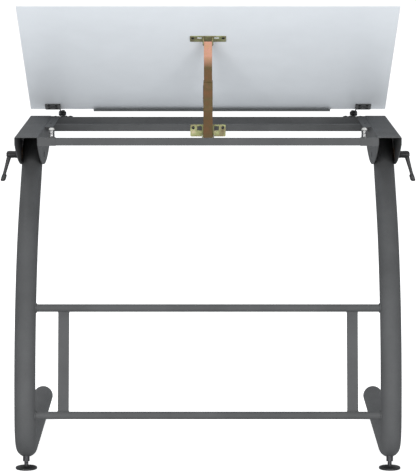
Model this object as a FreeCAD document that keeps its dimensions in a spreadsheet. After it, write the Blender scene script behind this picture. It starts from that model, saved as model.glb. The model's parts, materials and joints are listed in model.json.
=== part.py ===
"""Drafting table: a tilting board on a steel frame clamped between two C-shaped tube legs.

Frame: +Z up, +X to the right of a person sitting at the table, the sitter's side is -Y.
The origin is on the floor, at the middle of the table's plan. All lengths are in millimetres.
"""

import FreeCAD, Part
import math
import os
import re

import Sketcher
from FreeCAD import Placement, Rotation, Vector

# Driving dimensions: alias, value. Depths count from the brackets' rear ends towards the sitter.
SIZES = [
    ("board_width", 914.4),
    ("board_depth", 609.6),
    ("board_thickness", 16),
    ("band_thickness", 1),
    ("board_tilt", 28.3),
    ("bracket_length", 595),
    ("clamp_gap", 1),
    ("bracket_sheet", 1.8),
    ("bracket_bend", 3),
    ("bracket_end_height", 17),
    ("bracket_depth", 91.5),
    ("bracket_rise", 3),
    ("rail_top", 776),
    ("rail_side", 17),
    ("rail_wall", 1.5),
    ("middle_rail_set", 372),
    ("plate_width", 20),
    ("plate_length", 315),
    ("plate_sheet", 2),
    ("collar_length", 15),
    ("collar_wall", 1.2),
    ("saddle_length", 27),
    ("saddle_wall", 0.8),
    ("post_diameter", 14),
    ("post_height", 25),
    ("bumper_height", 6),
    ("peg_length", 5),
    ("tube_diameter", 50),
    ("tube_wall", 1.5),
    ("leg_y", 362.58),
    ("leg_setback", 119),
    ("foot_reach", 717),
    ("foot_height", 48),
    ("elbow_radius", 70),
    ("sweep_start", 124),
    ("sweep_radius", 613),
    ("sweep_angle", 51),
    ("clamp_set", 248),
    ("clamp_drop", 62.5),
    ("leg_overrun", 40),
    ("plug_length", 30),
    ("plug_lip", 4),
    ("bolt_diameter", 8),
    ("bolt_clearance", 0.08),
    ("sleeve_wall", 2),
    ("disc_diameter", 38),
    ("disc_thickness", 0.7),
    ("cross_diameter", 18),
    ("cross_wall", 1.2),
    ("cross_high", 381),
    ("cross_low", 135),
    ("strip_width", 26),
    ("strip_thickness", 3),
    ("strip_set", 339.5),
    ("glide_diameter", 51),
    ("glide_height", 7),
    ("glide_rear_set", 35),
    ("glide_front_set", 38),
    ("stud_diameter", 10),
    ("stud_length", 46),
    ("stud_clearance", 0.08),
    ("boss_wall", 3),
    ("boss_height", 14),
    ("hinge_forward", 5),
    ("hinge_rise", 8.5),
    ("hinge_inset", 10.7),
    ("hinge_set", 373),
    ("hinge_sheet", 2),
    ("hinge_plate_width", 40),
    ("hinge_plate_depth", 33),
    ("hinge_ear_radius", 8),
    ("hinge_foot", 26),
    ("foot_set", 3),
    ("hinge_bolt", 6),
    ("hinge_clearance", 0.08),
    ("knob_diameter", 18),
    ("knob_length", 12),
    ("lever_hub_diameter", 18),
    ("lever_hub_length", 34),
    ("lever_arm_drop", 70),
    ("lever_arm_width", 11),
    ("lever_lean", 13.5),
    ("washer_thickness", 2),
    ("stay_width", 23),
    ("stay_depth", 11),
    ("stay_sheet", 1.2),
    ("stay_gap", 0.2),
    ("stay_pin", 5),
    ("pin_clearance", 0.08),
    ("stay_arm_length", 160),
    ("stay_end", 6),
    ("stay_plate_width", 88),
    ("stay_plate_height", 30),
    ("stay_plate_sheet", 2),
    ("stay_screw_inset", 7),
    ("window_set", 15),
    ("window_width", 12),
    ("window_height", 11),
    ("stay_foot_set", 13),
    ("stay_foot_drop", 28),
    ("stay_head_reach", 429.6),
    ("stay_head_drop", 12),
    ("stay_ear_radius", 7),
    ("detent_set", 142),
    ("detent_pitch", 13),
    ("detent_button", 5),
    ("leaf_length", 48),
    ("leaf_width", 8),
    ("leaf_sheet", 0.8),
    ("ledge_length", 609.6),
    ("ledge_sheet", 1.5),
    ("ledge_rise", 10),
    ("ledge_drop", 6),
    ("ledge_flange", 11),
    ("ledge_shift", -10),
    ("ledge_travel", 12),
    ("ledge_gap", 0.3),
    ("ledge_screw_set", 240),
    ("screw_diameter", 4),
    ("screw_length", 13),
    ("screw_clearance", 0.2),
    ("fit_gap", 0.3),
]

# Places that follow from the driving dimensions.
PLACES = [
    ("bracket_inside", "tube_diameter + 2 * clamp_gap"),
    ("bracket_rear", "leg_y - leg_setback"),
    ("bracket_front", "bracket_rear - bracket_length"),
    ("bracket_plane", "board_width / 2 - bracket_inside / 2 - bracket_sheet"),
    ("bracket_inner", "board_width / 2 - bracket_inside - 2 * bracket_sheet"),
    ("bracket_width", "bracket_inside + 2 * bracket_sheet"),
    ("bracket_sag", "bracket_depth - bracket_end_height"),
    ("bracket_arc", "(bracket_length * bracket_length / 4 + bracket_sag * bracket_sag) / (2 * bracket_sag)"),
    ("rail_bottom", "rail_top - rail_side"),
    ("bracket_top", "rail_top + bracket_rise"),
    ("middle_rail_rear", "bracket_rear - middle_rail_set"),
    ("saddle_inner", "bracket_inner - collar_length - saddle_length"),
    ("post_x", "bracket_inner - collar_length - saddle_length / 2 - 4"),
    ("post_y", "bracket_rear - rail_side / 2"),
    ("bumper_low", "rail_top + post_height - bumper_height"),
    ("clamp_y", "bracket_rear - clamp_set"),
    ("clamp_z", "rail_top - clamp_drop"),
    ("tube_radius", "tube_diameter / 2"),
    ("foot_tip", "leg_y - foot_reach"),
    ("sweep_center_y", "leg_y - sweep_radius"),
    ("sweep_end_y", "sweep_center_y + sweep_radius * cos(sweep_angle)"),
    ("sweep_end_z", "sweep_start + sweep_radius * sin(sweep_angle)"),
    ("leg_top_y", "clamp_y - leg_overrun * sin(sweep_angle)"),
    ("leg_top_z", "clamp_z + leg_overrun * cos(sweep_angle)"),
    ("cross_high_y", "leg_y - sweep_radius * (1 - cos(asin((cross_high - sweep_start) / sweep_radius)))"),
    ("cross_low_y", "leg_y - sweep_radius * (1 - cos(asin((cross_low - sweep_start) / sweep_radius)))"),
    ("strip_run", "cross_low_y - cross_high_y"),
    ("strip_rise", "cross_high - cross_low"),
    ("strip_length", "hypot(strip_run; strip_rise)"),
    ("strip_lean", "atan2(strip_run; strip_rise) / 1 deg"),
    ("glide_rear_y", "leg_y - glide_rear_set"),
    ("glide_front_y", "foot_tip + glide_front_set"),
    ("boss_low", "foot_height - tube_radius - 4"),
    ("hinge_y", "bracket_front - hinge_forward"),
    ("hinge_z", "rail_top + hinge_rise"),
    ("underside", "post_height - hinge_rise"),
    ("board_front", "0 - hinge_inset"),
    ("stay_foot_y", "middle_rail_rear + stay_foot_set"),
    ("stay_foot_z", "rail_top - stay_foot_drop"),
    ("stay_head_u", "stay_head_reach - hinge_inset"),
    ("stay_head_v", "underside - stay_head_drop"),
    ("stay_head_y", "hinge_y + stay_head_u * cos(board_tilt) - stay_head_v * sin(board_tilt)"),
    ("stay_head_z", "hinge_z + stay_head_u * sin(board_tilt) + stay_head_v * cos(board_tilt)"),
    ("stay_run", "stay_head_y - stay_foot_y"),
    ("stay_rise", "stay_head_z - stay_foot_z"),
    ("stay_span", "hypot(stay_run; stay_rise)"),
    ("stay_lean", "atan2(stay_run; stay_rise) / 1 deg"),
    ("inner_width", "stay_width - 2 * stay_sheet - 2 * stay_gap"),
]

doc = FreeCAD.newDocument("DraftingTable")
NODES = []


def fill_sheets():
    """One sheet holds the driving numbers and a second one the places worked out from them."""
    sizes = doc.addObject("Spreadsheet::Sheet", "Sizes")
    for row, (name, value) in enumerate(SIZES, start=1):
        sizes.set("A%d" % row, name)
        sizes.set("B%d" % row, str(value))
        sizes.setAlias("B%d" % row, name)
    doc.recompute()
    places = doc.addObject("Spreadsheet::Sheet", "Places")
    known = {name for name, _ in SIZES}
    for row, (name, formula) in enumerate(PLACES, start=1):
        formula = re.sub(r"[a-z]\w*", lambda m: "Sizes." + m[0] if m[0] in known else m[0], formula)
        places.set("A%d" % row, name)
        places.set("B%d" % row, "=" + formula)
        places.setAlias("B%d" % row, name)
    doc.recompute()
    return sizes


OWNER = {name: "Sizes." for name, _ in SIZES}
OWNER.update({name: "Places." for name, _ in PLACES})
sheet = fill_sheets()


def bound(text):
    """An expression with each alias preceded by the name of its sheet."""
    return re.sub(r"[a-z]\w*", lambda m: OWNER.get(m[0], "") + m[0], str(text))


def number(text):
    value = sheet.evalExpression(bound(text))
    return float(getattr(value, "Value", value))


def bind(thing, **sizes):
    for name, text in sizes.items():
        thing.setExpression(name, bound(text))


def move(thing, x="0", y="0", z="0", axis=None, angle="0"):
    """Places an object: turned about an axis through its own origin, then moved."""
    if axis:
        thing.Placement = Placement(Vector(), Rotation(axis, number(angle)))
        thing.setExpression("Placement.Rotation.Angle", bound(angle))
    for name, text in (("x", x), ("y", y), ("z", z)):
        thing.setExpression("Placement.Base." + name, bound(text))
    return thing


X_AXIS, Y_AXIS, Z_AXIS = Vector(1, 0, 0), Vector(0, 1, 0), Vector(0, 0, 1)


def onto_board(thing):
    """From the board's own frame (origin on the hinge line, +Y up the slope) to the table's."""
    return move(thing, "0", "hinge_y", "hinge_z", X_AXIS, "board_tilt")


def onto_stay(thing):
    """From the stay's own frame (origin at its lower pin, +Z up the stay) to the table's."""
    return move(thing, "0", "stay_foot_y", "stay_foot_z", X_AXIS * -1, "stay_lean")


# Simple solids and booleans

def block(x, y, z, length, width, height):
    """A box from its low corner."""
    solid = doc.addObject("Part::Box", "Block")
    bind(solid, Length=length, Width=width, Height=height)
    return move(solid, x, y, z)


def rod(radius, length, axis, x="0", y="0", z="0"):
    """A cylinder that starts at a point and runs along +X, +Y or +Z."""
    solid = doc.addObject("Part::Cylinder", "Rod")
    bind(solid, Radius=radius, Height=length)
    turns = {"x": (Y_AXIS, "90"), "y": (X_AXIS * -1, "90"), "z": (None, "0")}
    return move(solid, x, y, z, *turns[axis])


def cone(low_radius, high_radius, length, axis, x="0", y="0", z="0"):
    solid = doc.addObject("Part::Cone", "Cone")
    bind(solid, Radius1=low_radius, Radius2=high_radius, Height=length)
    turns = {"x": (Y_AXIS, "90"), "y": (X_AXIS * -1, "90"), "z": (None, "0")}
    return move(solid, x, y, z, *turns[axis])


def cut(base, *tools):
    for tool in tools:
        result = doc.addObject("Part::Cut", "Cut")
        result.Base = base
        result.Tool = tool
        base = result
    return base


def fuse(*pieces):
    result = doc.addObject("Part::MultiFuse", "Fuse")
    result.Shapes = list(pieces)
    return result


def pipe(outer, wall, length, axis, x="0", y="0", z="0"):
    inner = rod("(%s) / 2 - (%s)" % (outer, wall), length, axis, x, y, z)
    return cut(rod("(%s) / 2" % outer, length, axis, x, y, z), inner)


def node(label, *pieces):
    """A named sub-part: one solid, or a group of identical fasteners."""
    group = doc.addObject("Part::Compound", label)
    group.Links = list(pieces)
    group.Label = label
    NODES.append(group)
    return group


# PartDesign bodies

def body(label):
    thing = doc.addObject("PartDesign::Body", label)
    thing.Label = label
    NODES.append(thing)
    return thing


def sketch(owner, plane, offset="0"):
    """A sketch on one of the body's origin planes, moved along the plane's normal."""
    drawing = owner.newObject("Sketcher::SketchObject", "Sketch")
    face = [item for item in owner.Origin.OriginFeatures if item.Role == plane][0]
    drawing.AttachmentSupport = [(face, "")]
    drawing.MapMode = "FlatFace"
    drawing.setExpression("AttachmentOffset.Base.z", bound(offset))
    return drawing


def pin_point(drawing, element, end, x, y):
    """Holds a point of a sketch at bound distances from the sketch's origin."""
    for kind, text in (("DistanceX", x), ("DistanceY", y)):
        index = drawing.addConstraint(Sketcher.Constraint(kind, -1, 1, element, end, number(text)))
        drawing.setExpression("Constraints[%d]" % index, bound(text))


def arc_between(start, end, radius, side):
    """The short arc between two points; side is +1 when its centre is left of the way there."""
    chord = end - start
    rise = math.sqrt(max(radius**2 - chord.Length**2 / 4, 0))
    left = Vector(-chord.y, chord.x, 0).normalize()
    center = (start + end) / 2 + left * (rise * side)
    angles = [math.atan2(p.y - center.y, p.x - center.x) for p in (start, end)]
    if side < 0:
        angles.reverse()
    return Part.ArcOfCircle(Part.Circle(center, Z_AXIS, radius), *angles)


def chain(drawing, points, bends=None, closed=True):
    """Lines through bound points; bends maps a line's number to the radius and side of an arc."""
    bends = bends or {}
    spots = [Vector(number(x), number(y), 0) for x, y in points]
    count = len(points) if closed else len(points) - 1
    ends = []
    for index in range(count):
        start, end = spots[index], spots[(index + 1) % len(spots)]
        if index in bends:
            radius, side = bends[index]
            element = drawing.addGeometry(arc_between(start, end, number(radius), side))
            ends.append((element, 1, 2) if side > 0 else (element, 2, 1))
        else:
            element = drawing.addGeometry(Part.LineSegment(start, end))
            ends.append((element, 1, 2))
    for index in range(count if closed else count - 1):
        this, following = ends[index], ends[(index + 1) % count]
        drawing.addConstraint(Sketcher.Constraint("Coincident", this[0], this[2], *following[:2]))
    for index, (x, y) in enumerate(points):
        element, first, last = ends[min(index, count - 1)]
        pin_point(drawing, element, first if index < count else last, x, y)
    for index, (radius, _) in bends.items():
        constraint = drawing.addConstraint(Sketcher.Constraint("Radius", ends[index][0], number(radius)))
        drawing.setExpression("Constraints[%d]" % constraint, bound(radius))
    return drawing


def circle(drawing, x, y, radius):
    spot = Vector(number(x), number(y), 0)
    element = drawing.addGeometry(Part.Circle(spot, Z_AXIS, number(radius)))
    pin_point(drawing, element, 3, x, y)
    index = drawing.addConstraint(Sketcher.Constraint("Radius", element, number(radius)))
    drawing.setExpression("Constraints[%d]" % index, bound(radius))
    return drawing


def rectangle(drawing, x, y, width, height):
    """A rectangle from its low corner."""
    far_x = "(%s) + (%s)" % (x, width)
    far_y = "(%s) + (%s)" % (y, height)
    return chain(drawing, [(x, y), (far_x, y), (far_x, far_y), (x, far_y)])


def pad(owner, drawing, length, symmetric=False, backwards=False):
    feature = owner.newObject("PartDesign::Pad", "Pad")
    feature.Profile = drawing
    feature.SideType = "Symmetric" if symmetric else "One side"
    feature.Reversed = backwards
    bind(feature, Length=length)
    drawing.Visibility = False
    return feature


def pocket(owner, drawing, length, symmetric=True, backwards=False):
    """A cut, checked against the volume before it because one that misses shows no error."""
    doc.recompute()
    before = owner.Shape.Volume
    feature = owner.newObject("PartDesign::Pocket", "Pocket")
    feature.Profile = drawing
    feature.Type = "Length"
    feature.SideType = "Symmetric" if symmetric else "One side"
    feature.Reversed = backwards
    bind(feature, Length=length)
    doc.recompute()
    if feature.Shape.Volume > before - 0.01:
        raise ValueError("a pocket in %s cuts nothing" % owner.Label)
    return feature


def drill(owner, plane, offset, spots, radius, length):
    """Round holes on both sides of a plane, each as long as half the length."""
    drawing = sketch(owner, plane, offset)
    for x, y in spots:
        circle(drawing, x, y, radius)
    pocket(owner, drawing, length)


def straight_edges(feature, direction, keep):
    """Names of a feature's straight edges along a direction whose middle passes a test."""
    doc.recompute()
    names = []
    for index, edge in enumerate(feature.Shape.Edges, start=1):
        if edge.Curve.TypeId != "Part::GeomLine":
            continue
        along = (edge.Vertexes[-1].Point - edge.Vertexes[0].Point).normalize()
        if abs(along.dot(direction)) > 0.999 and keep(edge.CenterOfMass):
            names.append("Edge%d" % index)
    return names


def fillet(owner, feature, edges, radius):
    rounding = owner.newObject("PartDesign::Fillet", "Fillet")
    rounding.Base = (feature, edges)
    bind(rounding, Radius=radius)
    return rounding


# The legs and what joins them

def leg(label, side):
    """A tube bent from the foot through an elbow and a long forward sweep up to the clamp."""
    thing = body(label)
    path = sketch(thing, "YZ_Plane")
    low = "foot_height"
    points = [
        ("foot_tip + plug_lip", low),
        ("leg_y - elbow_radius", low),
        ("leg_y", "foot_height + elbow_radius"),
        ("leg_y", "sweep_start"),
        ("sweep_end_y", "sweep_end_z"),
        ("leg_top_y", "leg_top_z"),
    ]
    chain(path, points, {1: ("elbow_radius", 1), 3: ("sweep_radius", 1)}, closed=False)
    section = sketch(thing, "XZ_Plane", "0 - (foot_tip + plug_lip)")
    circle(section, "0", low, "tube_radius")
    circle(section, "0", low, "tube_radius - tube_wall")
    doc.recompute()
    tube = thing.newObject("PartDesign::AdditivePipe", "Tube")
    tube.Profile = section
    tube.Spine = (path, ["Edge%d" % (index + 1) for index in range(len(points) - 1)])
    holes = sketch(thing, "YZ_Plane")
    circle(holes, "clamp_y", "clamp_z", "bolt_diameter / 2 + bolt_clearance + sleeve_wall")
    pocket(thing, holes, "tube_diameter + 2")
    sockets = sketch(thing, "XY_Plane", "foot_height")
    for y in ("glide_rear_y", "glide_front_y"):
        circle(sockets, "0", y, "stud_diameter / 2 + boss_wall")
    pocket(thing, sockets, "elbow_radius", symmetric=False)
    move(thing, "%d * bracket_plane" % side)


def clamp_sleeve(side):
    """The bush welded through the leg for the clamp bolt."""
    outer = "bolt_diameter + 2 * bolt_clearance + 2 * sleeve_wall"
    tube = pipe(outer, "sleeve_wall", "tube_diameter", "x", "0 - tube_radius", "clamp_y", "clamp_z")
    return move(tube, "%d * bracket_plane" % side)


def foot_plug(side):
    """The moulded plug in the front end of the foot."""
    fit = "tube_radius - tube_wall"
    lip = rod("tube_radius", "plug_lip", "y", "0", "foot_tip", "foot_height")
    stem = rod(fit, "plug_length - glide_front_set / 2", "y", "0", "foot_tip", "foot_height")
    hollow = rod(fit + " - 2", "plug_length", "y", "0", "foot_tip + 3", "foot_height")
    return move(cut(fuse(lip, stem), hollow), "%d * bracket_plane" % side)


def leg_cap(side):
    """The plug in the leg's upper end."""
    cap = rod("tube_radius", "plug_lip - 1", "z")
    spigot = rod("tube_radius - tube_wall", "plug_length / 3", "z", "0", "0", "0 - plug_length / 3")
    x = "%d * bracket_plane" % side
    return move(fuse(cap, spigot), x, "leg_top_y", "leg_top_z", X_AXIS, "sweep_angle")


def glide_bosses(side):
    """The threaded bosses in the underside of a foot, one for each glide."""
    bosses = []
    for y in ("glide_rear_y", "glide_front_y"):
        x = "%d * bracket_plane" % side
        outside = rod("stud_diameter / 2 + boss_wall", "boss_height", "z", x, y, "boss_low")
        bore = rod("stud_diameter / 2 + stud_clearance", "boss_height", "z", x, y, "boss_low")
        bosses.append(cut(outside, bore))
    return bosses


def glide(word, side, end, y):
    """A round levelling pad moulded on the foot of a steel stud."""
    x = "%d * bracket_plane" % side
    rim = rod("glide_diameter / 2", "glide_height - 2", "z", x, y, "0")
    crown = cone("glide_diameter / 2", "glide_diameter / 2 - 5", "2", "z", x, y, "glide_height - 2")
    socket = rod("stud_diameter / 2", "4", "z", x, y, "glide_height - 4")
    node("glide_pad_%s_%s" % (end, word), cut(fuse(rim, crown), socket))
    stud = rod("stud_diameter / 2", "stud_length", "z", x, y, "glide_height - 4")
    node("glide_stud_%s_%s" % (end, word), stud)


def crossbar(label, y, z):
    """A round tube from leg to leg; its ends are coped to the leg tubes."""
    half = "(bracket_plane - tube_radius * 0.8)"
    outer = rod("cross_diameter / 2", "2 * " + half, "x", "0 - " + half, y, z)
    bore = rod("cross_diameter / 2 - cross_wall", "2 * " + half, "x", "0 - " + half, y, z)
    copes = [leg_core(side) for side in (1, -1)]
    node(label, cut(outer, bore, *copes))


def leg_core(side):
    """The solid space that a leg's outside fills between the elbow and the upper bend."""
    thing = doc.addObject("PartDesign::Body", "LegCore")
    path = sketch(thing, "YZ_Plane")
    points = [
        ("leg_y", "foot_height + elbow_radius"),
        ("leg_y", "sweep_start"),
        ("sweep_end_y", "sweep_end_z"),
    ]
    chain(path, points, {1: ("sweep_radius", 1)}, closed=False)
    section = sketch(thing, "XY_Plane", "foot_height + elbow_radius")
    circle(section, "0", "leg_y", "tube_radius")
    doc.recompute()
    core = thing.newObject("PartDesign::AdditivePipe", "Core")
    core.Profile = section
    core.Spine = (path, ["Edge1", "Edge2"])
    return move(thing, "%d * bracket_plane" % side)


def brace(word, side):
    """A flat strip between the two crossbars, leaning as the legs do."""
    strip = block("0", "0", "0", "strip_width", "strip_thickness", "strip_length")
    move(strip, "%d * strip_set - strip_width / 2" % side, "cross_low_y - strip_thickness / 2", "cross_low",
         X_AXIS, "strip_lean")
    x = "%d * strip_set - strip_width" % side
    ends = []
    for y, z in (("cross_low_y", "cross_low"), ("cross_high_y", "cross_high")):
        ends.append(rod("cross_diameter / 2", "2 * strip_width", "x", x, y, z))
    node("brace_strip_" + word, cut(strip, *ends))


# The upper frame

def bracket(label, side):
    """A folded sheet channel, open below, deepest at the middle of its length."""
    thing = body(label)
    outline = sketch(thing, "YZ_Plane")
    edge = "bracket_top - bracket_end_height"
    points = [("bracket_rear", edge), ("bracket_rear", "bracket_top"), ("bracket_front", "bracket_top"),
              ("bracket_front", edge)]
    chain(outline, points, {3: ("bracket_arc", 1)})
    solid = pad(thing, outline, "bracket_width", symmetric=True)
    top = number("bracket_top") - 0.01
    edges = straight_edges(solid, Y_AXIS, lambda spot: spot.z > top)
    fillet(thing, solid, edges, "bracket_bend")
    inside = sketch(thing, "YZ_Plane")
    low = "bracket_top - bracket_sheet - bracket_depth"
    rectangle(inside, "bracket_front - 1", low, "bracket_length + 2", "bracket_depth")
    pocket(thing, inside, "bracket_inside")
    holes = sketch(thing, "YZ_Plane")
    circle(holes, "clamp_y", "clamp_z", "bolt_diameter / 2 + bolt_clearance")
    pocket(thing, holes, "bracket_width + 2")
    move(thing, "%d * bracket_plane" % side)


def rail(label, rear, extra=()):
    """A square tube between the brackets."""
    length = "2 * bracket_inner"
    front = "(%s) - rail_side" % rear
    bore = "rail_side - 2 * rail_wall"
    tube = block("0 - bracket_inner", front, "rail_bottom", length, "rail_side", "rail_side")
    inner = block("0 - bracket_inner", front + " + rail_wall", "rail_bottom + rail_wall", length, bore, bore)
    node(label, cut(tube, inner, *extra))


def rails():
    rail("rail_rear", "bracket_rear")
    holes = []
    for side in (1, -1):
        x, z = stay_foot_spot(side)
        holes.append(rod("screw_diameter / 2", "rail_side", "y", x, "middle_rail_rear - rail_side / 2", z))
    rail("rail_middle", "middle_rail_rear", holes)
    holes = []
    for side in (1, -1):
        for x, y in frame_hinge_spots(side):
            holes.append(rod("screw_diameter / 2", "rail_side", "z", x, y, "rail_top - rail_side / 2"))
    rail("rail_front", "bracket_front + rail_side", holes)


def corner_plate(side):
    """A flat plate along a bracket's inner wall, welded on top of the front and the middle rail."""
    x = "bracket_inner - plate_width" if side > 0 else "0 - bracket_inner"
    return block(x, "bracket_front", "rail_top", "plate_width", "plate_length", "plate_sheet")


def square_sleeve(x, length, wall):
    """A square sleeve over the rear rail."""
    outer = block(x, "bracket_rear - rail_side - (%s)" % wall, "rail_bottom - (%s)" % wall, length,
                  "rail_side + 2 * (%s)" % wall, "rail_side + 2 * (%s)" % wall)
    inner = block(x, "bracket_rear - rail_side", "rail_bottom", length, "rail_side", "rail_side")
    return cut(outer, inner)


def rail_collar(side):
    """The collar at one end of the rear rail."""
    x = "bracket_inner - collar_length" if side > 0 else "0 - bracket_inner"
    return square_sleeve(x, "collar_length", "collar_wall")


def post_saddle(side):
    """The saddle on the rear rail that carries a rest post."""
    x = "saddle_inner" if side > 0 else "0 - saddle_inner - saddle_length"
    return square_sleeve(x, "saddle_length", "saddle_wall")


def rest_post(side):
    """A post with a flared foot; the board rests on it when it lies flat."""
    x = "%d * post_x" % side
    low = "rail_top + saddle_wall"
    stem = rod("post_diameter / 2", "post_height - bumper_height - saddle_wall", "z", x, "post_y", low)
    flare = cone("post_diameter / 2 + 1.5", "post_diameter / 2", "3", "z", x, "post_y", low)
    socket = rod("post_diameter / 4", "peg_length", "z", x, "post_y", "bumper_low - peg_length")
    return cut(fuse(stem, flare), socket)


def post_bumper(side):
    """The rubber bumper pegged into the top of a rest post."""
    x = "%d * post_x" % side
    crown = cone("post_diameter / 2", "post_diameter / 2 - 2.5", "bumper_height - fit_gap", "z", x, "post_y",
                 "bumper_low")
    peg = rod("post_diameter / 4", "peg_length", "z", x, "post_y", "bumper_low - peg_length")
    return fuse(crown, peg)


# The clamps between the upper frame and the legs

def clamp_bolt(word, side):
    """A round-headed bolt through the bracket and the leg."""
    head = rod("bolt_diameter * 0.85", "5", "x", "bracket_inner - 5", "0", "0")
    length = "bracket_width + washer_thickness + lever_hub_length - 6"
    shank = rod("bolt_diameter / 2", length, "x", "bracket_inner")
    place_clamp(node("clamp_bolt_" + word, fuse(head, shank)), side)


def drilled_disc(diameter, thickness, x):
    """A flat ring on the clamp bolt."""
    bore = rod("bolt_diameter / 2 + bolt_clearance", thickness, "x", x)
    return cut(rod("(%s) / 2" % diameter, thickness, "x", x), bore)


def friction_discs(side):
    """The two fibre discs between the leg and the bracket's walls."""
    inner_x = "bracket_inner + bracket_sheet"
    outer_x = "board_width / 2 - bracket_sheet - disc_thickness"
    discs = [drilled_disc("disc_diameter", "disc_thickness", x) for x in (inner_x, outer_x)]
    return [place_clamp(disc, side) for disc in discs]


def clamp_washer(side):
    return place_clamp(drilled_disc("2 * bolt_diameter", "washer_thickness", "board_width / 2"), side)


def place_clamp(group, side):
    """Moves what was drawn on the right side to its clamp; the left clamp is turned about Z."""
    return move(group, "0", "clamp_y", "clamp_z", Z_AXIS, "0" if side > 0 else "180")


def lever(word, side):
    """An adjustable clamping lever: a metal nut with a toothed rim inside a moulded handle."""
    start = "(board_width / 2 + washer_thickness + fit_gap)"
    bore = "bolt_diameter / 2 + bolt_clearance"
    nut = rod("bolt_diameter / 2 + 2", "lever_hub_length - 12", "x", start)
    nut_bore = rod(bore, "lever_hub_length", "x", start)
    place_clamp(node("lever_nut_" + word, cut(nut, nut_bore)), side)

    thing = body("lever_handle_" + word)
    hub = sketch(thing, "YZ_Plane", start)
    circle(hub, "0", "0", "lever_hub_diameter / 2")
    pad(thing, hub, "lever_hub_length")
    arm = sketch(thing, "XZ_Plane")
    root_x = start + " + lever_hub_length - lever_arm_width - 1"
    tip = "lever_arm_drop * tan(lever_lean)"
    corners = [
        (root_x, "0"),
        (root_x + " + 2 + " + tip, "0 - lever_arm_drop"),
        (root_x + " + 3 + lever_arm_width + " + tip, "0 - lever_arm_drop"),
        (root_x + " + lever_arm_width", "0"),
    ]
    chain(arm, corners)
    solid = pad(thing, arm, "lever_arm_width", symmetric=True)
    lowest = number("0 - lever_arm_drop") + 0.1
    ends = straight_edges(solid, Y_AXIS, lambda spot: spot.z < lowest)
    fillet(thing, solid, ends, "lever_arm_width / 2.5")
    cavity = sketch(thing, "YZ_Plane", start)
    circle(cavity, "0", "0", "bolt_diameter / 2 + 2")
    pocket(thing, cavity, "lever_hub_length - 12", symmetric=False, backwards=True)
    deep = sketch(thing, "YZ_Plane", start)
    circle(deep, "0", "0", "bolt_diameter / 2 + 0.5")
    pocket(thing, deep, "lever_hub_length - 6", symmetric=False, backwards=True)
    place_clamp(thing, side)


# The board, its hinges and its ledge

def board():
    """The laminated panel inside a thin edge band, drawn flat in the board's own frame."""
    panel = body("drawing_board")
    drawing = sketch(panel, "XY_Plane", "underside")
    rectangle(drawing, "0 - board_width / 2 + band_thickness", "board_front + band_thickness",
              "board_width - 2 * band_thickness", "board_depth - 2 * band_thickness")
    pad(panel, drawing, "board_thickness")
    drill(panel, "XY_Plane", "underside", board_hinge_spots(1) + board_hinge_spots(-1) + stay_head_spots(),
          "screw_diameter / 2", "2 * (screw_length - hinge_sheet)")
    drill(panel, "XZ_Plane", "0 - board_front", ledge_spots(),
          "screw_diameter / 2", "2 * (screw_length - ledge_sheet - 2 * ledge_gap)")
    onto_board(panel)

    band = body("edge_band")
    drawing = sketch(band, "XY_Plane", "underside")
    rectangle(drawing, "0 - board_width / 2", "board_front", "board_width", "board_depth")
    rectangle(drawing, "0 - board_width / 2 + band_thickness", "board_front + band_thickness",
              "board_width - 2 * band_thickness", "board_depth - 2 * band_thickness")
    pad(band, drawing, "board_thickness")
    drill(band, "XZ_Plane", "0 - board_front", ledge_spots(),
          "screw_diameter / 2", "2 * (screw_length - ledge_sheet - 2 * ledge_gap)")
    onto_board(band)


def screw(x, y, z, axis, head, turned=False):
    """A pan-head screw whose shank starts at a point; turned puts the head at the far end."""
    shank = rod("screw_diameter / 2", "screw_length", axis, x, y, z)
    radius = "screw_diameter * 0.95"
    at = {"x": x, "y": y, "z": z}
    at[axis] = "(%s) + screw_length" % at[axis] if turned else "(%s) - (%s)" % (at[axis], head)
    return fuse(shank, rod(radius, head, axis, at["x"], at["y"], at["z"]))


def board_hinge(word, side):
    """The leaf on the board: a plate under the panel with an ear folded down to the hinge line."""
    thing = body("board_hinge_" + word)
    ear_x = "hinge_set + 3 * hinge_sheet + fit_gap"
    drawing = sketch(thing, "XY_Plane", "underside - hinge_sheet")
    corner_x = ear_x if side > 0 else "0 - (%s) - hinge_plate_width" % ear_x
    rectangle(drawing, corner_x, "board_front + 1", "hinge_plate_width", "hinge_plate_depth")
    plate = pad(thing, drawing, "hinge_sheet")
    corners = straight_edges(plate, Z_AXIS, lambda spot: abs(spot.x) > number(ear_x) + 5)
    fillet(thing, plate, corners, "4")
    ear = sketch(thing, "YZ_Plane", ear_x if side > 0 else "0 - (%s) - hinge_sheet" % ear_x)
    top = "underside - hinge_sheet / 2"
    radius = "hinge_ear_radius"
    points = [
        ("0 - " + radius, "0"),
        ("0", "0 - " + radius),
        (radius, "0"),
        ("hinge_plate_depth / 2", top),
        ("board_front + 2", top),
    ]
    chain(ear, points, {0: (radius, 1), 1: (radius, 1)})
    pad(thing, ear, "hinge_sheet")
    hole = sketch(thing, "YZ_Plane", "%d * (%s)" % (side, ear_x))
    circle(hole, "0", "0", "hinge_bolt / 2 + hinge_clearance")
    pocket(thing, hole, "6 * hinge_sheet")
    drill(thing, "XY_Plane", "underside", board_hinge_spots(side), "screw_diameter / 2 + screw_clearance",
          "3 * hinge_sheet")
    onto_board(thing)


def board_hinge_spots(side):
    """The places of the four screws in one board leaf."""
    across = ["hinge_plate_width * 0.28", "hinge_plate_width * 0.75"]
    along = ["hinge_plate_depth * 0.27", "hinge_plate_depth * 0.76"]
    edge = "hinge_set + 3 * hinge_sheet"
    return [("%d * (%s + %s)" % (side, edge, x), "board_front + " + y) for x in across for y in along]


def board_hinge_screws(side):
    return [screw(x, y, "underside - hinge_sheet", "z", "2") for x, y in board_hinge_spots(side)]


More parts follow.
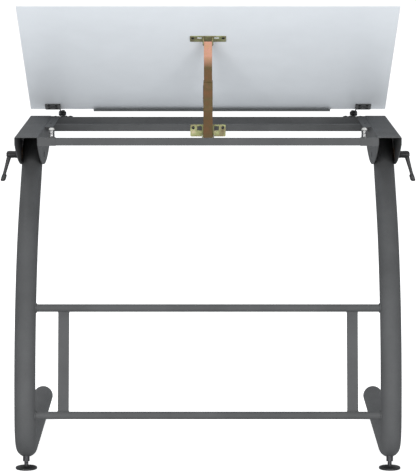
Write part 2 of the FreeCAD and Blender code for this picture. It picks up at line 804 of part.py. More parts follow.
def frame_hinge(word, side):
    """The leaf on the front rail: a foot on top of the rail with an ear that rises in front of it."""
    thing = body("frame_hinge_" + word)
    ear_x = "hinge_set + 2 * hinge_sheet"
    foot_x = "hinge_set - hinge_foot" if side > 0 else "0 - hinge_set - 3 * hinge_sheet"
    foot = sketch(thing, "XY_Plane", "rail_top")
    rectangle(foot, foot_x, "bracket_front + foot_set", "hinge_foot + 3 * hinge_sheet",
              "rail_side - 1 - foot_set")
    pad(thing, foot, "hinge_sheet")
    ear = sketch(thing, "YZ_Plane", ear_x if side > 0 else "0 - (%s) - hinge_sheet" % ear_x)
    radius = "hinge_ear_radius"
    points = [
        ("hinge_y", "hinge_z + " + radius),
        ("hinge_y - " + radius, "hinge_z"),
        ("hinge_y", "hinge_z - " + radius),
        ("bracket_front + foot_set", "rail_top"),
        ("bracket_front + rail_side - 1", "rail_top"),
        ("bracket_front + rail_side - 1", "rail_top + hinge_sheet"),
    ]
    chain(ear, points, {0: (radius, 1), 1: (radius, 1)})
    pad(thing, ear, "hinge_sheet")
    hole = sketch(thing, "YZ_Plane", "%d * (%s)" % (side, ear_x))
    circle(hole, "hinge_y", "hinge_z", "hinge_bolt / 2 + hinge_clearance")
    pocket(thing, hole, "6 * hinge_sheet")
    drill(thing, "XY_Plane", "rail_top", frame_hinge_spots(side), "screw_diameter / 2 + screw_clearance",
          "3 * hinge_sheet")


def frame_hinge_spots(side):
    """The places of the two screws in one frame leaf."""
    across = ["hinge_foot * 0.3", "hinge_foot * 0.75"]
    return [("%d * (hinge_set - %s)" % (side, x), "bracket_front + rail_side / 2 + 1") for x in across]


def frame_hinge_screws(side):
    low = "rail_top + hinge_sheet - screw_length"
    return [screw(x, y, low, "z", "2", turned=True) for x, y in frame_hinge_spots(side)]


def hinge_bolt(word, side):
    """The bolt on the hinge line with its round head outboard, and the lobed knob that tightens it."""
    outer = "(hinge_set + 4 * hinge_sheet + fit_gap)"
    inner = "(hinge_set + 2 * hinge_sheet - knob_length - fit_gap)"
    shank = rod("hinge_bolt / 2", "%s - %s" % (outer, inner), "x", inner)
    head = rod("hinge_bolt", "3", "x", outer)
    place_hinge(node("hinge_bolt_" + word, fuse(shank, head)), side)

    thing = body("hinge_knob_" + word)
    hub = sketch(thing, "YZ_Plane", inner)
    circle(hub, "0", "0", "knob_diameter * 0.36")
    pad(thing, hub, "knob_length")
    lobe_plan = sketch(thing, "YZ_Plane", inner)
    circle(lobe_plan, "knob_diameter * 0.32", "0", "knob_diameter * 0.18")
    lobe = pad(thing, lobe_plan, "knob_length * 0.7")
    doc.recompute()
    lobes = thing.newObject("PartDesign::PolarPattern", "Lobes")
    lobes.Originals = [lobe]
    lobes.Axis = ([item for item in thing.Origin.OriginFeatures if item.Role == "X_Axis"][0], [""])
    lobes.Angle = 360
    lobes.Occurrences = 5
    thing.Tip = lobes
    doc.recompute()
    bore = sketch(thing, "YZ_Plane", inner)
    circle(bore, "0", "0", "hinge_bolt / 2 + hinge_clearance")
    pocket(thing, bore, "3 * knob_length")
    place_hinge(thing, side)


def place_hinge(group, side):
    return move(group, "0", "hinge_y", "hinge_z", Z_AXIS, "0" if side > 0 else "180")


def ledge_spots():
    """The places of the three shoulder screws in the board's front edge."""
    across = ("ledge_shift - ledge_screw_set", "ledge_shift", "ledge_shift + ledge_screw_set")
    return [(x, "underside + board_thickness / 2") for x in across]


def ledge():
    """The pencil ledge: an L-shaped strip in front of the board that slides on shoulder screws."""
    thing = body("pencil_ledge")
    profile = sketch(thing, "YZ_Plane", "ledge_shift")
    front = "board_front - ledge_gap - ledge_sheet"
    back = "board_front - ledge_gap"
    low = "underside - ledge_drop"
    corners = [
        (front, low),
        (back + " + ledge_flange", low),
        (back + " + ledge_flange", low + " + ledge_sheet"),
        (back, low + " + ledge_sheet"),
        (back, "underside + board_thickness + ledge_rise"),
        (front, "underside + board_thickness + ledge_rise"),
    ]
    chain(profile, corners)
    solid = pad(thing, profile, "ledge_length", symmetric=True)
    bend = straight_edges(solid, X_AXIS, lambda spot: spot.z < number(low) + 0.1 and spot.y < number(back))
    fillet(thing, solid, bend, "ledge_sheet * 0.9")
    slots = sketch(thing, "XZ_Plane", "0 - (%s)" % front)
    half = "(screw_diameter / 2 + fit_gap)"
    for x, lower in ledge_spots():
        upper = lower + " + ledge_travel"
        near, far = "%s - %s" % (x, half), "%s + %s" % (x, half)
        points = [(near, upper), (near, lower), (x, "%s - %s" % (lower, half)), (far, lower), (far, upper),
                  (x, "%s + %s" % (upper, half))]
        chain(slots, points, {1: (half, 1), 2: (half, 1), 4: (half, 1), 5: (half, 1)})
    pocket(thing, slots, "6 * ledge_sheet")
    onto_board(thing)
    screws = [screw(x, front + " - ledge_gap", z, "y", "2") for x, z in ledge_spots()]
    onto_board(node("ledge_screws", *screws))


# The stay that props the board

def stay_foot_spot(side):
    """The place of a screw in the lower plate."""
    return "%d * (stay_plate_width / 2 - stay_screw_inset)" % side, "rail_top - 8"


def stay_head_spots():
    """The places of the two screws in the upper plate."""
    return [("%d * (stay_plate_width / 2 - stay_screw_inset)" % side, "stay_head_u + 5") for side in (1, -1)]


def windows(drawing, middle):
    """The two openings that the ears leave in a plate."""
    for x in ("window_set", "0 - window_set - window_width"):
        rectangle(drawing, x, "%s - window_height / 2" % middle, "window_width", "window_height")


def stay_foot():
    """The plate on the middle rail, its two ears, its screws and the lower pin."""
    thing = body("stay_foot_plate")
    face = sketch(thing, "XZ_Plane", "0 - middle_rail_rear")
    rectangle(face, "0 - stay_plate_width / 2", "rail_top - stay_plate_height", "stay_plate_width",
              "stay_plate_height")
    plate = pad(thing, face, "stay_plate_sheet", backwards=True)
    corners = straight_edges(plate, Y_AXIS, lambda spot: True)
    fillet(thing, plate, corners, "3")
    ear_gap = "stay_width / 2 + fit_gap"
    for x in (ear_gap, "0 - (%s) - stay_plate_sheet" % ear_gap):
        ear = sketch(thing, "YZ_Plane", x)
        radius = "stay_ear_radius"
        wall = "middle_rail_rear + stay_plate_sheet / 2"
        points = [(wall, "stay_foot_z - " + radius), ("stay_foot_y", "stay_foot_z - " + radius),
                  ("stay_foot_y + " + radius, "stay_foot_z"), ("stay_foot_y", "stay_foot_z + " + radius),
                  (wall, "rail_top - 4")]
        chain(ear, points, {1: (radius, 1), 2: (radius, 1)})
        pad(thing, ear, "stay_plate_sheet")
    hole = sketch(thing, "YZ_Plane")
    circle(hole, "stay_foot_y", "stay_foot_z", "stay_pin / 2 + pin_clearance")
    pocket(thing, hole, "2 * stay_width")
    openings = sketch(thing, "XZ_Plane", "0 - middle_rail_rear")
    for side in (1, -1):
        x, z = stay_foot_spot(side)
        circle(openings, x, z, "screw_diameter / 2 + screw_clearance")
    windows(openings, "rail_top - 9.5")
    pocket(thing, openings, "4 * stay_plate_sheet")

    screws = []
    for side in (1, -1):
        x, z = stay_foot_spot(side)
        y = "middle_rail_rear + stay_plate_sheet - screw_length"
        screws.append(screw(x, y, z, "y", "2", turned=True))
    node("stay_foot_screws", *screws)
    node("stay_foot_pin", stay_pin_at("stay_foot_y", "stay_foot_z", "stay_width / 2 + fit_gap"))


def stay_pin_at(y, z, half):
    """A headed pin through two ears."""
    reach = "(%s + stay_plate_sheet)" % half
    shank = rod("stay_pin / 2", "2 * " + reach, "x", "0 - " + reach, y, z)
    heads = [rod("stay_pin / 2 + 1.5", "1.5", "x", x, y, z) for x in (reach, "0 - %s - 1.5" % reach)]
    return fuse(shank, *heads)


def stay_head():
    """The plate under the board, drawn in the board's frame, with its ears, screws and upper pin."""
    thing = body("stay_head_plate")
    low = "underside - stay_plate_sheet"
    face = sketch(thing, "XY_Plane", low)
    rectangle(face, "0 - stay_plate_width / 2", "stay_head_u - stay_plate_height / 2", "stay_plate_width",
              "stay_plate_height")
    plate = pad(thing, face, "stay_plate_sheet")
    corners = straight_edges(plate, Z_AXIS, lambda spot: True)
    fillet(thing, plate, corners, "3")
    ear_gap = "inner_width / 2 + fit_gap"
    for x in (ear_gap, "0 - (%s) - stay_plate_sheet" % ear_gap):
        ear = sketch(thing, "YZ_Plane", x)
        radius = "stay_ear_radius"
        points = [
            ("stay_head_u - " + radius, "stay_head_v"),
            ("stay_head_u", "stay_head_v - " + radius),
            ("stay_head_u + " + radius, "stay_head_v"),
            ("stay_head_u + 11", low + " + stay_plate_sheet / 2"),
            ("stay_head_u - 11", low + " + stay_plate_sheet / 2"),
        ]
        chain(ear, points, {0: (radius, 1), 1: (radius, 1)})
        pad(thing, ear, "stay_plate_sheet")
    hole = sketch(thing, "YZ_Plane")
    circle(hole, "stay_head_u", "stay_head_v", "stay_pin / 2 + pin_clearance")
    pocket(thing, hole, "2 * stay_width")
    openings = sketch(thing, "XY_Plane", low)
    for x, y in stay_head_spots():
        circle(openings, x, y, "screw_diameter / 2 + screw_clearance")
    windows(openings, "stay_head_u + 5")
    pocket(thing, openings, "4 * stay_plate_sheet", symmetric=True)
    onto_board(thing)

    screws = [screw(x, y, low, "z", "2") for x, y in stay_head_spots()]
    onto_board(node("stay_head_screws", *screws))
    onto_board(node("stay_head_pin", stay_pin_at("stay_head_u", "stay_head_v", "inner_width / 2 + fit_gap")))


def channel(label, low, height, width, depth, rear):
    """An upright channel: its web is at the rear, it is open to the front, its rear corners are bent."""
    thing = body(label)
    plan = sketch(thing, "XY_Plane", low)
    rectangle(plan, "0 - (%s) / 2" % width, "%s - (%s)" % (rear, depth), width, depth)
    solid = pad(thing, plan, height)
    bends = straight_edges(solid, Z_AXIS, lambda spot: spot.y > number(rear) - 0.1)
    fillet(thing, solid, bends, "stay_sheet * 0.9")
    inside = sketch(thing, "XY_Plane", low + " - 1")
    rectangle(inside, "0 - (%s) / 2 + stay_sheet" % width, "%s - (%s) - 1" % (rear, depth),
              "(%s) - 2 * stay_sheet" % width, "(%s) - stay_sheet + 1" % depth)
    pocket(thing, inside, height + " + 2", symmetric=False, backwards=True)
    return thing


def detent_hole(thing, x, along):
    """A hole for the detent button through the right flange of a channel."""
    drawing = sketch(thing, "YZ_Plane", x)
    circle(drawing, "0", along, "detent_button / 2 + fit_gap")
    return pocket(thing, drawing, "2 * stay_sheet")


def stay_arms():
    """The outer arm turns on the lower pin; the inner arm hangs from the upper pin and slides in it."""
    whole = "stay_arm_length + stay_end"
    outer = channel("stay_outer_arm", "0 - stay_end", whole, "stay_width", "stay_depth", "stay_depth / 2")
    drill(outer, "YZ_Plane", "0", [("0", "0")], "stay_pin / 2 + pin_clearance", "2 * stay_width")
    detent_hole(outer, "stay_width / 2", "detent_set")
    onto_stay(outer)

    low = "stay_span + stay_end - stay_arm_length"
    inner = channel("stay_inner_arm", low, "stay_arm_length", "inner_width",
                    "stay_depth - stay_sheet - stay_gap", "stay_depth / 2 - stay_sheet - stay_gap")
    drill(inner, "YZ_Plane", "0", [("0", "stay_span")], "stay_pin / 2 + pin_clearance", "2 * stay_width")
    hole = detent_hole(inner, "inner_width / 2", "detent_set")
    row = inner.newObject("PartDesign::LinearPattern", "DetentHoles")
    row.Originals = [hole]
    row.Direction = ([item for item in inner.Origin.OriginFeatures if item.Role == "Z_Axis"][0], [""])
    row.Occurrences = 8
    bind(row, Length="7 * detent_pitch")
    inner.Tip = row
    onto_stay(inner)

    low = "detent_set - leaf_length + detent_button"
    leaf = block("stay_width / 2", "0 - leaf_width / 2", low, "leaf_sheet", "leaf_width", "leaf_length")
    button = rod("detent_button / 2", "stay_sheet", "x", "stay_width / 2 - stay_sheet", "0", "detent_set")
    onto_stay(node("stay_detent_spring", fuse(leaf, button)))
    rivets = []
    for part in ("0.62", "0.8"):
        along = "detent_set - leaf_length * " + part
        rivets.append(rod("detent_button / 3", "1", "x", "stay_width / 2 + leaf_sheet", "0", along))
    onto_stay(node("detent_rivets", *rivets))


SIDES = (("right", 1), ("left", -1))
PAIRS = (
    ("clamp_sleeves", clamp_sleeve),
    ("foot_plugs", foot_plug),
    ("leg_caps", leg_cap),
    ("corner_plates", corner_plate),
    ("rail_collars", rail_collar),
    ("post_saddles", post_saddle),
    ("rest_posts", rest_post),
    ("post_bumpers", post_bumper),
    ("clamp_washers", clamp_washer),
)
SETS = (
    ("glide_bosses", glide_bosses),
    ("friction_discs", friction_discs),
    ("frame_hinge_screws", frame_hinge_screws),
)


def build():
    for word, side in SIDES:
        leg("leg_" + word, side)
        for end, y in (("rear", "glide_rear_y"), ("front", "glide_front_y")):
            glide(word, side, end, y)
        brace(word, side)
        bracket("bracket_" + word, side)
        clamp_bolt(word, side)
        lever(word, side)
        board_hinge(word, side)
        frame_hinge(word, side)
        hinge_bolt(word, side)
    for label, make in PAIRS:
        node(label, *[make(side) for _, side in SIDES])
    for label, make in SETS:
        node(label, *[piece for _, side in SIDES for piece in make(side)])
    crossbar("crossbar_upper", "cross_high_y", "cross_high")
    crossbar("crossbar_lower", "cross_low_y", "cross_low")
    rails()
    board()
    onto_board(node("board_hinge_screws", *board_hinge_screws(1), *board_hinge_screws(-1)))
    ledge()
    stay_foot()
    stay_head()
    stay_arms()


def check_and_write():
    doc.recompute()
    for thing in doc.Objects:
        if "Invalid" in thing.State or "Error" in thing.State:
            raise ValueError("%s (%s) failed: %s" % (thing.Name, thing.Label, thing.State))
    for thing in NODES:
        if thing.Shape.isNull() or not thing.Shape.isValid():
            raise ValueError("%s has no valid shape" % thing.Label)
    os.makedirs("parts", exist_ok=True)
    for thing in NODES:
        thing.Shape.exportStep("parts/%s.step" % thing.Label)
    print("%d nodes written" % len(NODES))


build()
check_and_write()
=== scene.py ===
"""Drafting table: the looks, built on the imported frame. Metres, +Z up, the sitter's side is -Y."""
import json
import math
import random

import bmesh
import bpy
from mathutils import Matrix, Vector


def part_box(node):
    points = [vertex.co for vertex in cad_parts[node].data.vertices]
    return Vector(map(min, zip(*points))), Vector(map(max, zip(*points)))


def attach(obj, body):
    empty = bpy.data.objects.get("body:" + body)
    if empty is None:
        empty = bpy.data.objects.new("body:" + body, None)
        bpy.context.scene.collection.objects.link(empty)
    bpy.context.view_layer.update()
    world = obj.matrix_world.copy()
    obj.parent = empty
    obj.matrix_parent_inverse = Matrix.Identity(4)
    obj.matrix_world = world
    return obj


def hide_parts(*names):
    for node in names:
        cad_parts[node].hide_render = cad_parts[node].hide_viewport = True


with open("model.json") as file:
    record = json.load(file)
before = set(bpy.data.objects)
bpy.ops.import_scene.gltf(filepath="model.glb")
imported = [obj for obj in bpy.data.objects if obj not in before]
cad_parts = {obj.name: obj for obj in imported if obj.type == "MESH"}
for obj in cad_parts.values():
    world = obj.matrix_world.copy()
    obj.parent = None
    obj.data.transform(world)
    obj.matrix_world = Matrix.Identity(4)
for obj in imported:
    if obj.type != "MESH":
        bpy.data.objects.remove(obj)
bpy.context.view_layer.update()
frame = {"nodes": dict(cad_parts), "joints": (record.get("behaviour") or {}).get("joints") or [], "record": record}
nodes = frame["nodes"]

MM = 0.001
X, Y, Z = Vector((1, 0, 0)), Vector((0, 1, 0)), Vector((0, 0, 1))
SIDES = (("right", 1), ("left", -1))
joints = {joint["name"]: joint for joint in frame["joints"]}

# Places that come from the frame
CLAMP = Vector(joints["frame_tilt"]["pos_m"])
HINGE = Vector(joints["board_tilt"]["pos_m"])
TILT = math.atan2(-joints["ledge_slide"]["axis"][1], joints["ledge_slide"]["axis"][2])
ON_BOARD = Matrix.Translation(HINGE) @ Matrix.Rotation(TILT, 4, "X")

# Sizes of the object, in millimetres
BOARD_THICKNESS = 16
SCREW_HEAD = 2.0
STUD_PITCH = 1.0

# The view and the light, in metres, degrees and watts
LENS = 209.75
VIEW_FAR = 100
VIEW_PLACE = (0, 6.7049, 1.3818)
VIEW_DIP = 7.389
SKY_COLOR = (0.95, 0.975, 1.0)
SKY_STRENGTH = 0.5
OVERHEAD_PLACE = (0.4, -0.6, 3.6)
OVERHEAD_TARGET = (0, 0, 0.6)
OVERHEAD_SIZE = (3.0, 3.0)
OVERHEAD_POWER = 60
REAR_OUT, REAR_BACK, REAR_UP = 2.0, 4.9, 0.66
REAR_TARGET = (0, 0, 0.7)
REAR_SIZE = (2.4, 1.1)
REAR_POWER = 105
FLOOR_HALF = 40
FLOOR_GLOW = 0.75


# ---------------------------------------------------------------- camera, lights and floor

def add_camera():
    """Behind the table, a little above it, with a long lens."""
    data = bpy.data.cameras.new("camera")
    data.lens = LENS
    data.clip_end = VIEW_FAR
    camera = bpy.data.objects.new("camera", data)
    camera.location = VIEW_PLACE
    camera.rotation_euler = (math.radians(90 - VIEW_DIP), 0, math.pi)
    bpy.context.scene.collection.objects.link(camera)
    bpy.context.scene.camera = camera


def area_light(name, place, target, size, power):
    """A white soft box at a place, turned to a target, that the camera doesn't see."""
    data = bpy.data.lights.new(name, "AREA")
    data.shape = "RECTANGLE"
    data.size, data.size_y = size
    data.energy = power
    light = bpy.data.objects.new(name, data)
    light.visible_camera = False
    light.location = place
    light.rotation_euler = (Vector(target) - Vector(place)).to_track_quat("-Z", "Y").to_euler()
    bpy.context.scene.collection.objects.link(light)


def add_studio():
    """A pale sky, three soft boxes and a floor that is seen but throws no light back."""
    world = bpy.data.worlds.new("studio")
    world.use_nodes = True
    background = world.node_tree.nodes["Background"]
    background.inputs["Color"].default_value = (*SKY_COLOR, 1)
    background.inputs["Strength"].default_value = SKY_STRENGTH
    bpy.context.scene.world = world
    bpy.context.scene.view_settings.view_transform = "Standard"
    area_light("light_overhead", OVERHEAD_PLACE, OVERHEAD_TARGET, OVERHEAD_SIZE, OVERHEAD_POWER)
    for name, side in (("light_rear_right", 1), ("light_rear_left", -1)):
        area_light(name, (side * REAR_OUT, REAR_BACK, REAR_UP), REAR_TARGET, REAR_SIZE, REAR_POWER)

    mesh = bpy.data.meshes.new("floor")
    half = FLOOR_HALF
    corners = [(-half, -half, 0), (half, -half, 0), (half, half, 0), (-half, half, 0)]
    mesh.from_pydata(corners, [], [(0, 1, 2, 3)])
    floor = bpy.data.objects.new("floor", mesh)
    bpy.context.scene.collection.objects.link(floor)
    mesh.materials.append(floor_paint())
    floor.visible_diffuse = False
    floor.visible_glossy = False


# ---------------------------------------------------------------- materials

class Recipe:
    """A node material in the making: a Principled shader and short calls that feed it."""

    def __init__(self, name, color, roughness, metallic=0.0, **sockets):
        self.material = bpy.data.materials.new(name)
        self.material.use_nodes = True
        self.material.diffuse_color = (*color, 1)
        self.tree = self.material.node_tree
        self.shader = self.tree.nodes["Principled BSDF"]
        self.shader.inputs["Base Color"].default_value = (*color, 1)
        self.shader.inputs["Roughness"].default_value = roughness
        self.shader.inputs["Metallic"].default_value = metallic
        for socket, value in sockets.items():
            self.shader.inputs[socket.replace("_", " ")].default_value = value
        self.place = self.tree.nodes.new("ShaderNodeTexCoord").outputs["Object"]

    def stretched(self, x, y, z):
        """The place on the object with each axis scaled, for streaks and grain."""
        mapping = self.tree.nodes.new("ShaderNodeMapping")
        mapping.inputs["Scale"].default_value = (x, y, z)
        self.tree.links.new(self.place, mapping.inputs["Vector"])
        return mapping.outputs["Vector"]

    def noise(self, scale, detail=3.0, place=None):
        """Cloudy noise; a larger scale gives finer grain."""
        node = self.tree.nodes.new("ShaderNodeTexNoise")
        node.inputs["Scale"].default_value = scale
        node.inputs["Detail"].default_value = detail
        node.inputs["Roughness"].default_value = 0.55
        self.tree.links.new(place or self.place, node.inputs["Vector"])
        return node.outputs["Fac"]

    def ramp(self, source, *stops):
        """Colours, or greys, at positions along a source value."""
        node = self.tree.nodes.new("ShaderNodeValToRGB")
        elements = node.color_ramp.elements
        while len(elements) < len(stops):
            elements.new(0.5)
        for element, (position, color) in zip(elements, stops):
            element.position = position
            element.color = (*color, 1) if isinstance(color, tuple) else (color, color, color, 1)
        self.tree.links.new(source, node.inputs["Fac"])
        return node.outputs["Color"]

    def blend(self, first, second, share, mode="MIX"):
        """Mixes two colours; share is a number or a source."""
        node = self.tree.nodes.new("ShaderNodeMix")
        node.data_type = "RGBA"
        node.blend_type = mode
        self.tree.links.new(first, node.inputs["A"])
        self.tree.links.new(second, node.inputs["B"])
        if isinstance(share, float):
            node.inputs["Factor"].default_value = share
        else:
            self.tree.links.new(share, node.inputs["Factor"])
        return node.outputs["Result"]

    def height_above(self, low, high):
        """0 below a height of the object, 1 above another one."""
        split = self.tree.nodes.new("ShaderNodeSeparateXYZ")
        self.tree.links.new(self.place, split.inputs["Vector"])
        span = self.tree.nodes.new("ShaderNodeMapRange")
        span.inputs["From Min"].default_value = low
        span.inputs["From Max"].default_value = high
        self.tree.links.new(split.outputs["Z"], span.inputs["Value"])
        return span.outputs["Result"]

    def feed(self, socket, source):
        """Links a source to a socket of the shader."""
        self.tree.links.new(source, self.shader.inputs[socket])
        return self

    def relief(self, *layers):
        """Bumps one after another: each layer is a source, its strength and its height in metres."""
        normal = None
        for source, strength, height in layers:
            node = self.tree.nodes.new("ShaderNodeBump")
            node.inputs["Strength"].default_value = strength
            node.inputs["Distance"].default_value = height
            self.tree.links.new(source, node.inputs["Height"])
            if normal:
                self.tree.links.new(normal, node.inputs["Normal"])
            normal = node.outputs["Normal"]
        self.tree.links.new(normal, self.shader.inputs["Normal"])
        return self


def shades(color, *factors):
    """Darker and lighter versions of a colour."""
    return [tuple(channel * factor for channel in color) for factor in factors]


def floor_paint():
    """A pale matt floor that glows enough to show just above white."""
    color = (0.9, 0.9, 0.9)
    recipe = Recipe("floor_paint", color, 0.7)
    low, high = shades(color, 0.99, 1.01)
    recipe.feed("Base Color", recipe.ramp(recipe.noise(0.6), (0.35, low), (0.65, high)))
    recipe.shader.inputs["Emission Color"].default_value = (1, 1, 1, 1)
    recipe.shader.inputs["Emission Strength"].default_value = FLOOR_GLOW
    return recipe.material


def powder_coat():
    """Charcoal powder coat: a fine pebbled skin, slightly cloudy, with a soft gloss."""
    color = (0.094, 0.096, 0.098)
    recipe = Recipe("powder_coat", color, 0.56, Specular_IOR_Level=0.16)
    low, high = shades(color, 0.86, 1.12)
    cloud = recipe.ramp(recipe.noise(9, 4), (0.3, low), (0.7, high))
    speck_low, speck_high = shades((1, 1, 1), 0.8, 1.2)
    specks = recipe.ramp(recipe.noise(1900, 2), (0.35, speck_low), (0.65, speck_high))
    recipe.feed("Base Color", recipe.blend(cloud, specks, 0.6, "MULTIPLY"))
    recipe.feed("Roughness", recipe.ramp(recipe.noise(320), (0.3, 0.5), (0.7, 0.64)))
    recipe.relief((recipe.noise(850, 2), 0.5, 0.00025), (recipe.noise(2600, 1), 0.3, 0.0001))
    return recipe.material


def laminate():
    """White melamine: a faint mottle and the fine pebble pressed into its surface."""
    color = (0.86, 0.9, 0.94)
    recipe = Recipe("laminate", color, 0.38)
    low, high = shades(color, 0.975, 1.01)
    recipe.feed("Base Color", recipe.ramp(recipe.noise(14, 5), (0.3, low), (0.7, high)))
    recipe.feed("Roughness", recipe.ramp(recipe.noise(240), (0.3, 0.33), (0.7, 0.45)))
    recipe.relief((recipe.noise(650, 2), 0.25, 0.0001),)
    return recipe.material


def edging():
    """White PVC edge band with faint lengthwise scrape lines from trimming."""
    color = (0.9, 0.91, 0.92)
    recipe = Recipe("edging", color, 0.35)
    low, high = shades(color, 0.97, 1.01)
    recipe.feed("Base Color", recipe.ramp(recipe.noise(40), (0.3, low), (0.7, high)))
    recipe.relief((recipe.noise(400, 2, place=recipe.stretched(0.05, 0.05, 1)), 0.2, 0.0001),)
    return recipe.material


def zinc_plate(name, pink_sheen_from=None):
    """Yellow passivated zinc: clouds of gold, green and cream, or brown that turns pink above a height; that pink
    is partly the zinc's own tint and partly a painted reflection of light on the top of the arm.
    """
    recipe = Recipe(name, (0.31, 0.29, 0.15), 0.42, 0.5)
    if pink_sheen_from is None:
        tints = recipe.ramp(recipe.noise(48, 4), (0.3, (0.17, 0.14, 0.07)), (0.45, (0.26, 0.24, 0.12)),
                            (0.56, (0.3, 0.33, 0.14)), (0.7, (0.5, 0.42, 0.28)))
    else:
        brown = recipe.ramp(recipe.noise(34, 4), (0.3, (0.26, 0.13, 0.06)), (0.46, (0.22, 0.13, 0.06)),
                            (0.56, (0.19, 0.14, 0.06)), (0.7, (0.29, 0.15, 0.08)))
        # Pink above pink_sheen_from: partly the zinc's own tint, partly a painted reflection that brightens the
        # top of the arm.
        pink_tint_and_sheen = recipe.ramp(recipe.noise(60), (0.3, (0.92, 0.46, 0.36)), (0.7, (0.85, 0.47, 0.28)))
        fade = 0.03
        tints = recipe.blend(brown, pink_tint_and_sheen, recipe.height_above(pink_sheen_from, pink_sheen_from + fade))
    specks = recipe.ramp(recipe.noise(700, 2), (0.3, 0.75), (0.7, 1.15))
    recipe.feed("Base Color", recipe.blend(tints, specks, 0.5, "MULTIPLY"))
    recipe.feed("Roughness", recipe.ramp(recipe.noise(180), (0.3, 0.34), (0.7, 0.54)))
    rolled = recipe.noise(900, 2, place=recipe.stretched(1, 0.06, 0.06))
    recipe.relief((rolled, 0.3, 0.00012), (recipe.noise(1500, 1), 0.2, 0.00006))
    return recipe.material


def steel(name, color, roughness):
    """Plated or bare steel with drawing lines and slightly dull patches."""
    recipe = Recipe(name, color, roughness, 1.0)
    low, high = shades(color, 0.8, 1.1)
    recipe.feed("Base Color", recipe.ramp(recipe.noise(220, 4), (0.3, low), (0.7, high)))
    dull = recipe.ramp(recipe.noise(400), (0.3, roughness - 0.06), (0.7, roughness + 0.12))
    recipe.feed("Roughness", dull)
    recipe.relief((recipe.noise(1400, 2, place=recipe.stretched(1, 1, 0.05)), 0.25, 0.00008),)
    return recipe.material


def plastic(name, color, roughness, grain=1500):
    """Moulded plastic with a spark-eroded grain."""
    recipe = Recipe(name, color, roughness)
    low, high = shades(color, 0.8, 1.25)
    recipe.feed("Base Color", recipe.ramp(recipe.noise(60), (0.3, low), (0.7, high)))
    recipe.feed("Roughness", recipe.ramp(recipe.noise(500), (0.3, roughness - 0.06), (0.7, roughness + 0.1)))
    recipe.relief((recipe.noise(grain, 2), 0.45, 0.00012),)
    return recipe.material


def hinge_paint():
    """Black hammered paint on the hinge leaves."""
    color = (0.035, 0.036, 0.038)
    recipe = Recipe("hinge_paint", color, 0.33, 0.2)
    low, high = shades(color, 0.7, 1.8)
    recipe.feed("Base Color", recipe.ramp(recipe.noise(420, 3), (0.35, low), (0.7, high)))
    recipe.relief((recipe.noise(520, 2), 0.7, 0.0003),)
    return recipe.material


def fibre():
    """Pressed fibre with a felted grain."""
    color = (0.2, 0.12, 0.07)
    recipe = Recipe("fibre", color, 0.8)
    low, high = shades(color, 0.7, 1.3)
    recipe.feed("Base Color", recipe.ramp(recipe.noise(900, 4), (0.3, low), (0.7, high)))
    recipe.relief((recipe.noise(1200, 3), 0.5, 0.0001),)
    return recipe.material


MATERIALS = {}


def make_materials():
    """One material for each slot of the record, and the variants of them that pieces use."""
    _, arm_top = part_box("stay_inner_arm")
    # The top of each stay arm is painted pink: partly its own tint, partly a painted reflection of light.
    pink_sheen_length = 0.07
    MATERIALS.update({
        "powder_coat": powder_coat(),
        "laminate": laminate(),
        "edging": edging(),
        "zinc_plate": zinc_plate("zinc_plate"),
        "zinc_arm": zinc_plate("zinc_arm", arm_top.z - pink_sheen_length),
        "bare_steel": steel("bare_steel", (0.6, 0.6, 0.6), 0.3),
        "post_steel": steel("post_steel", (0.2, 0.2, 0.2), 0.32),
        "boss_steel": steel("boss_steel", (0.09, 0.09, 0.095), 0.34),
        "spring_steel": steel("spring_steel", (0.24, 0.25, 0.29), 0.3),
        "black_screw": steel("black_screw", (0.05, 0.05, 0.052), 0.36),
        "black_plastic": plastic("black_plastic", (0.011, 0.011, 0.012), 0.46),
        "bumper_rubber": plastic("bumper_rubber", (0.55, 0.55, 0.53), 0.5, 900),
        "ledge_paint": plastic("ledge_paint", (0.1, 0.11, 0.11), 0.36, 1100),
        "hinge_plate": hinge_paint(),
        "fibre": fibre(),
    })


def dress_nodes():
    """Gives every CAD node that stays the finished material of its slot."""
    for part in frame["record"]["subparts"]:
        name = part.get("material_slot") or part["node"]
        if part["node"] in ("stay_outer_arm", "stay_inner_arm"):
            name = "zinc_arm"
        elif part["node"] == "glide_bosses":
            name = "boss_steel"
        piece = nodes[part["node"]]
        piece.data.materials.clear()
        piece.data.materials.append(MATERIALS[name])


# ---------------------------------------------------------------- mesh building

def place_along(origin, axis, up=None):
    """A frame at origin whose own Z runs along axis."""
    axis = Vector(axis).normalized()
    guide = Vector(up) if up else (Z if abs(axis.z) < 0.9 else Y)
    across = guide.cross(axis).normalized()
    matrix = Matrix((across, axis.cross(across), axis)).transposed().to_4x4()
    matrix.translation = origin
    return matrix


def loft(bm, rings, cap=True):
    """Skins closed rings of equal length, each a list of points."""
    made = [[bm.verts.new(point) for point in ring] for ring in rings]
    count = len(made[0])
    for low, high in zip(made, made[1:]):
        for index in range(count):
            after = (index + 1) % count
            bm.faces.new((low[index], low[after], high[after], high[index]))
    if cap:
        bm.faces.new(list(reversed(made[0])))
        bm.faces.new(made[-1])


def lathe(bm, matrix, profile, steps=48):
    """Turns (radius, height) points, in millimetres, about a frame's Z axis; ends on the axis close."""
    rings = []
    for radius, height in profile:
        ring = []
        for index in range(steps):
            angle = 2 * math.pi * index / steps
            spot = Vector((math.cos(angle) * radius, math.sin(angle) * radius, height)) * MM
            ring.append(matrix @ spot)
        rings.append(ring)
    loft(bm, rings)


def rounded(profile, radius, steps=4):
    """Replaces the inner corners of an open (radius, height) profile by small arcs."""
    points = [Vector(point) for point in profile]
    result = [points[0]]
    for before, here, after in zip(points, points[1:], points[2:]):
        start, end = before - here, after - here
        reach = min(radius, start.length * 0.45, end.length * 0.45)
        a, b = here + start.normalized() * reach, here + end.normalized() * reach
        for index in range(steps + 1):
            share = index / steps
            result.append(a * (1 - share) ** 2 + here * (2 * share * (1 - share)) + b * share ** 2)
    result.append(points[-1])
    return [tuple(point) for point in result]


